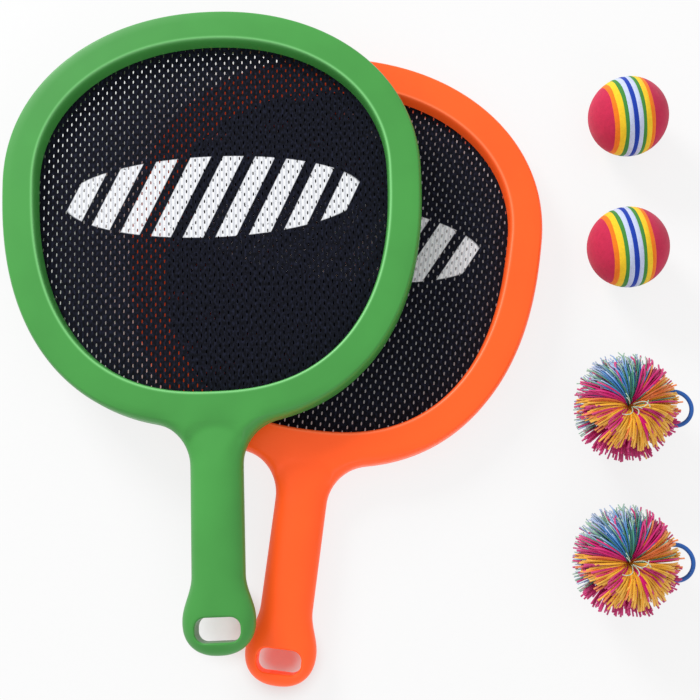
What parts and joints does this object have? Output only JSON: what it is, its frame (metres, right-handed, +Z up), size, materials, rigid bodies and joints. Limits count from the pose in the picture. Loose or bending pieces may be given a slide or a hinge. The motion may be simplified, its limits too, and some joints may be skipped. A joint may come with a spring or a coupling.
{
  "type": "badminton set",
  "caption": "Mesh-faced paddles with hollow moulded frames, laminated foam balls and rubber strand balls with finger loops, laid out flat for two players.",
  "frame": {"origin": "on the resting surface, under the middle of the laid-out set", "axes": "+Z up from the surface, +Y along the rackets from handle to head, +X towards the balls"},
  "size_m": [0.3531, 0.3482, 0.046],
  "materials": {
    "green_frame": "satin",
    "orange_frame": "satin",
    "mesh": "matte",
    "hoop": "satin",
    "screw": "satin",
    "foam_red": "matte",
    "foam_orange": "matte",
    "foam_yellow": "matte",
    "foam_green": "matte",
    "foam_white": "matte",
    "foam_blue": "matte",
    "strand_yellow": "satin",
    "strand_magenta": "satin",
    "strand_blue": "satin",
    "strand_green": "satin",
    "strand_orange": "satin",
    "tie_band": "satin",
    "loop": "satin"
  },
  "bodies": {
    "orange_racket": {"orange_front_frame": "orange_frame", "orange_back_frame": "orange_frame", "orange_mesh_face": "mesh", "orange_mesh_hoop": "hoop", "orange_rim_screws": "screw", "orange_handle_screws": "screw"},
    "green_racket": {"green_front_frame": "green_frame", "green_back_frame": "green_frame", "green_mesh_face": "mesh", "green_mesh_hoop": "hoop", "green_rim_screws": "screw", "green_handle_screws": "screw"},
    "ball_1": {"ball_1_red_cap_left": "foam_red", "ball_1_orange_left": "foam_orange", "ball_1_yellow_left": "foam_yellow", "ball_1_green_left": "foam_green", "ball_1_white_left": "foam_white", "ball_1_blue_core": "foam_blue", "ball_1_white_right": "foam_white", "ball_1_green_right": "foam_green", "ball_1_yellow_right": "foam_yellow", "ball_1_orange_right": "foam_orange", "ball_1_red_cap_right": "foam_red"},
    "ball_2": {"ball_2_red_cap_left": "foam_red", "ball_2_orange_left": "foam_orange", "ball_2_yellow_left": "foam_yellow", "ball_2_green_left": "foam_green", "ball_2_white_left": "foam_white", "ball_2_blue_core": "foam_blue", "ball_2_white_right": "foam_white", "ball_2_green_right": "foam_green", "ball_2_yellow_right": "foam_yellow", "ball_2_orange_right": "foam_orange", "ball_2_red_cap_right": "foam_red"},
    "tuft_1": {"tuft_1_yellow_strands": "strand_yellow", "tuft_1_magenta_strands": "strand_magenta", "tuft_1_blue_strands": "strand_blue", "tuft_1_green_strands": "strand_green", "tuft_1_orange_strands": "strand_orange", "tuft_1_tie_band": "tie_band"},
    "finger_loop_1": {"tuft_1_loop": "loop"},
    "tuft_2": {"tuft_2_yellow_strands": "strand_yellow", "tuft_2_magenta_strands": "strand_magenta", "tuft_2_blue_strands": "strand_blue", "tuft_2_green_strands": "strand_green", "tuft_2_orange_strands": "strand_orange", "tuft_2_tie_band": "tie_band"},
    "finger_loop_2": {"tuft_2_loop": "loop"}
  },
  "joints": [
    {"name": "green_lift", "type": "slide", "parent": "orange_racket", "child": "green_racket", "axis": [0, 0, 1], "range_m": [0, 0.25]},
    {"name": "ball_1_lift", "type": "slide", "parent": "orange_racket", "child": "ball_1", "axis": [0, 0, 1], "range_m": [0, 0.3]},
    {"name": "ball_2_lift", "type": "slide", "parent": "orange_racket", "child": "ball_2", "axis": [0, 0, 1], "range_m": [0, 0.3]},
    {"name": "tuft_1_lift", "type": "slide", "parent": "orange_racket", "child": "tuft_1", "axis": [0, 0, 1], "range_m": [0, 0.3]},
    {"name": "loop_1_swing", "type": "hinge", "parent": "tuft_1", "child": "finger_loop_1", "pos_m": [0.1497, -0.0378, 0.023], "axis": [0, 1, 0], "range_deg": [-20, 20], "stiffness_Nm_per_rad": 0.003},
    {"name": "tuft_2_lift", "type": "slide", "parent": "orange_racket", "child": "tuft_2", "axis": [0, 0, 1], "range_m": [0, 0.3]},
    {"name": "loop_2_swing", "type": "hinge", "parent": "tuft_2", "child": "finger_loop_2", "pos_m": [0.1459, -0.1138, 0.023], "axis": [0, 1, 0], "range_deg": [-20, 20], "stiffness_Nm_per_rad": 0.003}
  ]
}
